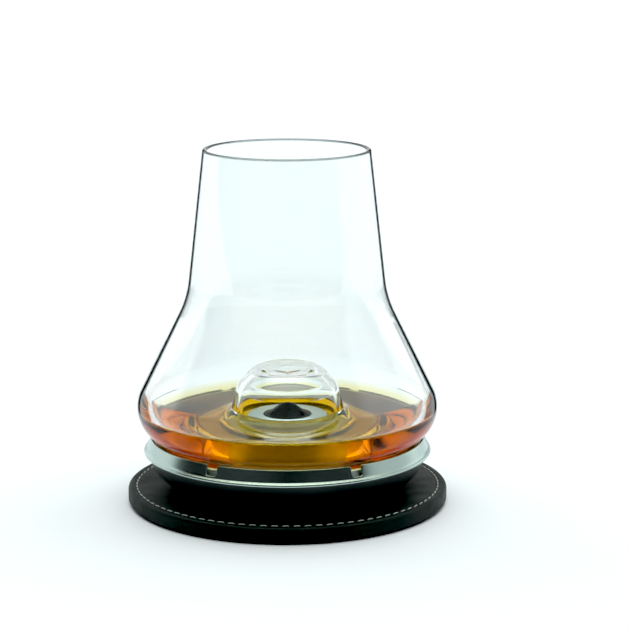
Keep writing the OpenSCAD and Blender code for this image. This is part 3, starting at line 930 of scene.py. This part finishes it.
def freezer_gel():
    """Freezer gel: pale blue, cloudy, a little shiny."""
    recipe = Recipe("gel")
    cloud = recipe.noise(recipe.place(), cells=180.0, detail=3.0)
    recipe.finish(Base_Color=recipe.mix(cloud, (0.35, 0.6, 0.72), (0.55, 0.76, 0.84)), Roughness=0.3,
                  Normal=recipe.bump(cloud, 0.2 * MM))
    return recipe.material


RUBBER = rubber()
for name, finish in (("foot_ring", RUBBER), ("plug_seal", RUBBER), ("filler_plug", PLUG_STEEL),
                     ("filler_bush", PLUG_STEEL), ("cooling_gel", freezer_gel())):
    dress(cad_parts[name], finish)
    print(name, "is dressed in", finish.name)

# %% [markdown]
# The glass is blown in a mould: a cone over a rounded bowl, a narrow chimney, and a hollow
# dome pushed up into its floor. The wall is thin at the rim and thick at the foot.
# The outside and the inside are one closed outline, so the light passes two true surfaces.

# %% The glass's outline
RIM_R = 28.45 * MM
WAIST_H = 60 * MM
WAIST_ROUND = 35 * MM
FOOT_ROUND = 4 * MM
CHIMNEY_WALL = 1.7 * MM
CONE_WALL = 2.4 * MM
TAPER_WALL = 4.0 * MM
RIM_ROUND_SHARE = 0.46
INNER_BOWL_SHARE = 0.8
FLOOR_WALL = 4.5 * MM
DOME_H = 36.5 * MM
DOME_R = 17.3 * MM
DOME_DROP = 7 * MM
DOME_LEAN = math.radians(13.5)
DOME_WALL = 2.2 * MM
DOME_FOOT_ROUND = 3.5 * MM
SHOULDER_WALL = 2.4 * MM
SHOULDER_ROUND = 8 * MM
CROWN_R = 11.2 * MM
CROWN_DROP = 0.6 * MM
CROWN_WALL = 2.8 * MM
CROWN_ROUND = 7 * MM
PUNT_LIP_ROUND = 1.5 * MM
floor_z = GLASS_FOOT + FLOOR_WALL
dome_top = GLASS_FOOT + DOME_H
waist_z = GLASS_FOOT + WAIST_H
rim_round = RIM_ROUND_SHARE * CHIMNEY_WALL

foot_corner = np.array([taper_r(GLASS_FOOT), GLASS_FOOT])
waist = np.array([BOWL_CORNER[0] - (waist_z - BOWL_CORNER[1]) * math.tan(CONE), waist_z])
rim = np.array([RIM_R, GLASS_TOP])
chimney_lean = math.atan2(waist[0] - rim[0], rim[1] - waist[1])
dome_axis = np.array([0, dome_top])
dome_crown = np.array([CROWN_R, dome_top - CROWN_DROP])
dome_shoulder = np.array([DOME_R, dome_top - DOME_DROP])
dome_foot = np.array([DOME_R + (dome_top - DOME_DROP - floor_z) * math.tan(DOME_LEAN), floor_z])
punt_top = np.array([0, dome_top - CROWN_WALL / math.cos(math.atan2(CROWN_DROP, CROWN_R))])
punt_crown = offset_corner(dome_axis, dome_crown, dome_shoulder, CROWN_WALL, SHOULDER_WALL)
punt_shoulder = offset_corner(dome_crown, dome_shoulder, dome_foot, SHOULDER_WALL, DOME_WALL)
punt_lip = np.array([punt_shoulder[0] + (punt_shoulder[1] - GLASS_FOOT) * math.tan(DOME_LEAN),
                     GLASS_FOOT])
inner_bowl = offset_corner(foot_corner, BOWL_CORNER, waist, -TAPER_WALL, -CONE_WALL)
inner_waist = offset_corner(BOWL_CORNER, waist, rim, -CONE_WALL, -CHIMNEY_WALL)
inner_rim = rim - [CHIMNEY_WALL / math.cos(chimney_lean), 0]
inner_floor = np.array([taper_r(floor_z) - TAPER_WALL / math.cos(TAPER), floor_z])

outer_corners = [
    (*punt_top, 0), (*punt_crown, CROWN_ROUND - CROWN_WALL),
    (*punt_shoulder, SHOULDER_ROUND - SHOULDER_WALL), (*punt_lip, PUNT_LIP_ROUND),
    (*foot_corner, FOOT_ROUND), (*BOWL_CORNER, BOWL_ROUND), (*waist, WAIST_ROUND), (*rim, rim_round)]
inner_corners = [
    (*inner_rim, rim_round), (*inner_waist, WAIST_ROUND + CHIMNEY_WALL),
    (*inner_bowl, INNER_BOWL_SHARE * BOWL_ROUND), (*inner_floor, FOOT_ROUND + TAPER_WALL),
    (*dome_foot, DOME_FOOT_ROUND), (*dome_shoulder, SHOULDER_ROUND), (*dome_crown, CROWN_ROUND),
    (*dome_axis, 0)]
(glass_at, glass_facing), = outline(outer_corners + inner_corners)
inside_start = int(np.argmax(glass_at[:, 1]))
print("the glass's outline has", len(glass_at), "points, of which", inside_start, "outside")

# %% [markdown]
# Where the whisky touches the glass there is no air between them, so light bends far less
# there than at a dry wall. Two overlapping closed meshes with their own full strengths would
# bend it rightly but mirror it too much. So the wetted part of the glass's inside carries the
# strength of glass against whisky, and the whisky's own wall bends nothing.
# Surface tension draws the whisky up the glass, at the wall and at the dome: the climb dies
# away by the same share every step. The whisky's wall is the glass's inside, moved into the
# glass by a few hundredths of a millimetre so that no air is left between.

# %% The whisky
CLIMB = 1.6 * MM
CLIMB_REACH = 1.7 * MM
SINK = 0.04 * MM
WALL_STEP = 0.25 * MM
FLOOR_MIDDLE_R = 30 * MM
TIE_BREAK = 1e-3
CROWDING = 60
SURFACE_STEPS = 40

wall_at, wall_facing = subdivided(glass_at[inside_start:], glass_facing[inside_start:], WALL_STEP)
lowest = int(np.argmin(wall_at[:, 1] + TIE_BREAK * np.abs(wall_at[:, 0] - FLOOR_MIDDLE_R)))


def crossing(points, height):
    """Index of the point in a stretch that lies nearest a height."""
    return int(np.argmin(np.abs(points[:, 1] - height)))


outer_contact = crossing(wall_at[:lowest], WHISKY_TOP + CLIMB)
inner_contact = lowest + crossing(wall_at[lowest:], WHISKY_TOP + CLIMB)
wet_at = wall_at[outer_contact:inner_contact + 1]
wet_facing = wall_facing[outer_contact:inner_contact + 1]
tub_at = wet_at - wet_facing * SINK
tub = (tub_at[::-1], -wet_facing[::-1])


def free_surface():
    """The whisky's free surface, from the wall in to the dome.

    The points crowd towards both walls by a steady ratio. The height is the level, plus at each
    wall the climb times e to the minus distance over the climb's reach."""
    start_r, end_r = tub_at[0, 0], tub_at[-1, 0]
    near_wall = np.geomspace(1, CROWDING, SURFACE_STEPS) - 1
    ease = near_wall / near_wall[-1] * (start_r - end_r) / 2
    r = np.concatenate([start_r - ease, (end_r + ease)[::-1][1:]])
    z = (WHISKY_TOP
         + (tub_at[0, 1] - WHISKY_TOP) * np.exp(-(start_r - r) / CLIMB_REACH)
         + (tub_at[-1, 1] - WHISKY_TOP) * np.exp(-(r - end_r) / CLIMB_REACH))
    at = np.stack([r, z], -1)
    at[0], at[-1] = tub_at[0], tub_at[-1]
    return smooth_curve(at)


surface = free_surface()
whisky = turned("whisky_pour", "glass", [surface, tub], looped=True)
glass = turned("blown_glass", "glass", [(glass_at, glass_facing)])
print("the whisky climbs to %.2f mm at the wall" % (tub_at[0, 1] / MM))

# %% [markdown]
# A material can't know which part of a mesh is wet, so the faces carry that as numbers.
# The whisky's faces say which of them are its free surface. The glass's say which are wetted,
# and which belong to the outer skin, where the finish below paints the dark edge lines as shade.
# Vertex groups would blur the borders over a face's width, and a face attribute doesn't.

# %% Marks on the faces
WALL_MARGIN = 0.3 * MM
FLOOR_MARGIN = 0.01 * MM
BARE_FOOT = 1 * MM


def mark_faces(piece, name, values):
    """Stores one number per face."""
    attribute = piece.data.attributes.new(name, "FLOAT", "FACE")
    attribute.data.foreach_set("value", values.astype(np.float32))


def face_centres(piece):
    """Radius and height of the middle of every face."""
    centre = np.zeros(len(piece.data.polygons) * 3, np.float32)
    piece.data.polygons.foreach_get("center", centre)
    centre = centre.reshape(-1, 3)
    return np.hypot(centre[:, 0], centre[:, 1]), centre[:, 2]


free = np.zeros(len(whisky.data.polygons))
free[:(len(surface[0]) - 1) * TURNS] = 1
mark_faces(whisky, "free_surface", free)
r, z = face_centres(glass)
inner_r = np.interp(z, wall_at[:lowest][::-1, 1], wall_at[:lowest][::-1, 0])
wet = (z < tub_at[0, 1]) & (z >= floor_z - FLOOR_MARGIN) & (r < inner_r + WALL_MARGIN) & (r > DOME_R)
mark_faces(glass, "wetted", wet)
mark_faces(glass, "outer_skin", (r > inner_r + WALL_MARGIN) & (z > GLASS_FOOT + BARE_FOOT))
print("wetted faces", int(wet.sum()), "of", len(wet))

# %% [markdown]
# Clear glass on a white ground is drawn by its edges. Where the wall is seen nearly edge on,
# the light comes a long way through the glass, and the eye reads a thin dark line. A soft tent
# is too bright all round to give that line, and black cards beside the set would show as bars
# in the bowl. So the finish paints it as shade: Layer Weight's Facing says how far the skin
# turns away from the eye, a painted grey shade starts there, and in a narrow band of it the
# skin is painted dark and bends nothing. It turns with the view, as the real line does. The
# rolled lip is painted grey as shade too. Below the whisky's surface the same measure paints
# the skin a red-brown shade, which stands in for a slanting look going through more of the
# pour. There and just above it the shine is held back, because the bright floor's mirror
# image would veil the pour.

# %% The glass's finish
GLASS_BEND = 1.5
WHISKY_BEND = 1.36
CLEAR = (0.975, 0.999, 0.997)
# Painted shade where the skin is seen edge on: a grey, then a near-black line.
PAINTED_GREY_SHADE = (0.6, 0.69, 0.7)
PAINTED_EDGE_LINE = (0.004, 0.006, 0.007)
# Painted grey shade on the rolled lip.
PAINTED_LIP_SHADE = (0.12, 0.15, 0.15)
# Painted red-brown shade on the wet skin seen aslant.
PAINTED_RED_SHADE = (0.32, 0.055, 0.002)
GREY_SHADE_STARTS, GREY_SHADE_FULL = 0.66, 0.76
LINE_STARTS, LINE_FULL = 0.76, 0.81
LINE_FADES, LINE_ENDS, LINE_REST = 0.86, 0.93, 0.1
RED_STARTS, RED_FULL = 0.4, 0.62
ABOVE_FULL = 3 * MM
SHINE_STARTS, SHINE_FULL, SHINE_LEAST = 4 * MM, 9 * MM, 0.25
LIP_STARTS, LIP_FULL = 0.75 * MM, 0.5 * MM


def clear_glass():
    """Clear glass: strong bend when dry, weak where whisky touches it, painted dark where seen edge on.

    The painted dark line is the product of three shares: being outer skin above the whisky, the
    rise of the facing measure, and its fall. The bend goes down by the line times what glass adds to 1."""
    recipe = Recipe("glass")
    wetted, skin = recipe.attribute("wetted"), recipe.attribute("outer_skin")
    facing = recipe.node("ShaderNodeLayerWeight").outputs["Facing"]
    height = recipe.node("ShaderNodeSeparateXYZ", Vector=recipe.place()).outputs["Z"]
    above = recipe.ramp(height, 0.0, 1.0, WHISKY_TOP, WHISKY_TOP + ABOVE_FULL)
    shine = recipe.ramp(height, SHINE_LEAST, 1.0, WHISKY_TOP + SHINE_STARTS, WHISKY_TOP + SHINE_FULL)
    # Painted grey shade on the rim's lip, by height.
    painted_lip_share = recipe.ramp(height, 0.0, 1.0, GLASS_TOP - LIP_STARTS, GLASS_TOP - LIP_FULL)
    dry_skin = recipe.math("MULTIPLY", skin, above)
    wet_skin = recipe.math("MULTIPLY", skin, recipe.math("SUBTRACT", 1.0, above))
    # A painted grey shade, and within it a painted dark line, where the dry skin turns from the eye.
    painted_grey_share = recipe.math("MULTIPLY", dry_skin, recipe.ramp(facing, 0.0, 1.0, GREY_SHADE_STARTS, GREY_SHADE_FULL))
    rise = recipe.ramp(facing, 0.0, 1.0, LINE_STARTS, LINE_FULL)
    fall = recipe.ramp(facing, 1.0, LINE_REST, LINE_FADES, LINE_ENDS)
    painted_line_share = recipe.math("MULTIPLY", dry_skin, recipe.math("MULTIPLY", rise, fall))
    # Painted red-brown shade where the wet skin turns from the eye.
    painted_red_share = recipe.math("MULTIPLY", wet_skin, recipe.ramp(facing, 0.0, 1.0, RED_STARTS, RED_FULL))
    # The glass's own tint, under the painted grey, lip and red-brown shades.
    glass_tint_and_painted_shade = recipe.mix(painted_red_share, recipe.mix(painted_lip_share, recipe.mix(painted_grey_share, CLEAR, PAINTED_GREY_SHADE), PAINTED_LIP_SHADE), PAINTED_RED_SHADE)
    recipe.finish(Base_Color=recipe.mix(painted_line_share, glass_tint_and_painted_shade, PAINTED_EDGE_LINE), Roughness=0.0,
                  Transmission_Weight=1.0, IOR=GLASS_BEND,
                  Specular_Tint=recipe.mix(shine, (0, 0, 0), (1, 1, 1)))
    bend = recipe.ramp(wetted, GLASS_BEND, GLASS_BEND / WHISKY_BEND)
    recipe.finish(IOR=recipe.math("SUBTRACT", bend, recipe.math("MULTIPLY", painted_line_share, GLASS_BEND - 1)))
    return recipe.material


dress(glass, clear_glass())
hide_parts("glass_bowl")
print("glass bends light %.2f times, and %.2f where it is wet" % (GLASS_BEND, GLASS_BEND / WHISKY_BEND))

# %% [markdown]
# Whisky is clear, so its colour belongs to its volume and not to its surface: Volume Absorption
# swallows blue first, then green, the further the light goes. That is why the thin front of
# the pour is golden and the long way through its sides is red.

# %% The whisky's finish
AMBER = (0.955, 0.81, 0.0)
AMBER_DENSITY = 150.0


def amber():
    """Whisky: a bend at its free surface only, and absorption that grows with the way through."""
    recipe = Recipe("whisky")
    recipe.finish(Base_Color=(1, 1, 1, 1), Roughness=0.0, Transmission_Weight=1.0, IOR=WHISKY_BEND)
    recipe.finish(IOR=recipe.ramp(recipe.attribute("free_surface"), 1.0, WHISKY_BEND))
    depth = recipe.node("ShaderNodeVolumeAbsorption", Color=(*AMBER, 1), Density=AMBER_DENSITY)
    recipe.put(recipe.output, "Volume", depth.outputs[0])
    return recipe.material


dress(whisky, amber())
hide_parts("whisky")
print("whisky takes away colour at a density of", AMBER_DENSITY)

# %% [markdown]
# The studio is as plain as it can be. The floor is a wide sheet of pale matt paper with no
# pattern, so wide that its far edge never comes into the picture.

# %% Floor
FLOOR_SIZE = 30.0
PAPER = (0.84, 0.88, 0.9)

reach = FLOOR_SIZE / 2
floor_mesh = bpy.data.meshes.new("studio_floor")
floor_mesh.from_pydata([(-reach, -reach, 0), (reach, -reach, 0), (reach, reach, 0), (-reach, reach, 0)],
                       [], [(0, 1, 2, 3)])
studio_floor = bpy.data.objects.new("studio_floor", floor_mesh)
bpy.context.scene.collection.objects.link(studio_floor)
paper = Recipe("studio_paper")
paper.finish(Base_Color=(*PAPER, 1), Roughness=0.9, Specular_IOR_Level=0.0)
studio_floor.data.materials.append(paper.material)
print("the floor is", FLOOR_SIZE, "m wide")

# %% [markdown]
# The light is a soft white tent, made of the world's background alone. It is bright overhead
# and at the sides and dim in front, behind the camera, so that the steel has something dark
# to mirror in its middle. Each soft card is a patch round one direction: the dot product of
# the way a ray goes and the card's direction is the cosine of the angle between them.

# %% Light
DIM = 0.015
TENT_WHITE = (0.97, 1, 0.99, 1)
CARDS = {
    "overhead": ((0, 0.15, 1), 34, 12, 3.0),
    "back left": ((-0.766, 0.643, 0.25), 28, 4, 1.2),
    "right": ((0.95, 0.31, 0.27), 38, 5, 0.85),
    "back right": ((0.7, 0.75, 0.25), 20, 6, 0.6),
    "back": ((0, 1, 0.24), 22, 8, 0.9),
    "front left": ((-0.75, -1, 0.45), 22, 18, 0.06),
    "front right": ((0.75, -1, 0.45), 20, 16, 0.04)}


def tent(cards, dim):
    """A world of soft cards: each is (direction, half width in degrees, softness, brightness).

    A card fades in from the cosine of width plus softness to the cosine of width less softness,
    and the cards' levels are added to the dim level of all the rest."""
    world = bpy.data.worlds.new("tent")
    world.use_nodes = True
    bpy.context.scene.world = world
    tree = world.node_tree
    way = tree.nodes.new("ShaderNodeTexCoord").outputs["Generated"]
    total = None
    for direction, width, soft, level in cards:
        dot = tree.nodes.new("ShaderNodeVectorMath")
        dot.operation = "DOT_PRODUCT"
        tree.links.new(way, dot.inputs[0])
        dot.inputs[1].default_value = unit(np.array(direction, float))
        fade = tree.nodes.new("ShaderNodeMapRange")
        fade.interpolation_type = "SMOOTHSTEP"
        tree.links.new(dot.outputs["Value"], fade.inputs["Value"])
        fade.inputs["From Min"].default_value = math.cos(math.radians(width + soft))
        fade.inputs["From Max"].default_value = math.cos(math.radians(max(0, width - soft)))
        fade.inputs["To Min"].default_value = 0
        fade.inputs["To Max"].default_value = level
        added = tree.nodes.new("ShaderNodeMath")
        added.operation = "ADD"
        tree.links.new(fade.outputs[0], added.inputs[0])
        if total is None:
            added.inputs[1].default_value = dim
        else:
            tree.links.new(total, added.inputs[1])
        total = added.outputs[0]
    background = tree.nodes["Background"]
    background.inputs["Color"].default_value = TENT_WHITE
    tree.links.new(total, background.inputs["Strength"])


tent(CARDS.values(), DIM)
print("the tent has cards", ", ".join(CARDS))

# %% [markdown]
# A photograph on white is developed so that the paper is white and the blacks are full. The
# Standard view keeps the colours as they are, and a small black level deepens the shadows.
# Light crosses many walls of glass here, so the rays may bend more often than usual.

# %% Development
BLACK_LEVEL = 0.018
GLASS_BOUNCES = 24
SHINE_BOUNCES = 8

view = bpy.context.scene.view_settings
view.view_transform = "Standard"
view.look = "None"
view.use_curve_mapping = True
view.curve_mapping.black_level = (BLACK_LEVEL, BLACK_LEVEL, BLACK_LEVEL)
bpy.context.scene.cycles.max_bounces = GLASS_BOUNCES
bpy.context.scene.cycles.transmission_bounces = GLASS_BOUNCES
bpy.context.scene.cycles.glossy_bounces = SHINE_BOUNCES
print("rays bend up to", GLASS_BOUNCES, "times")
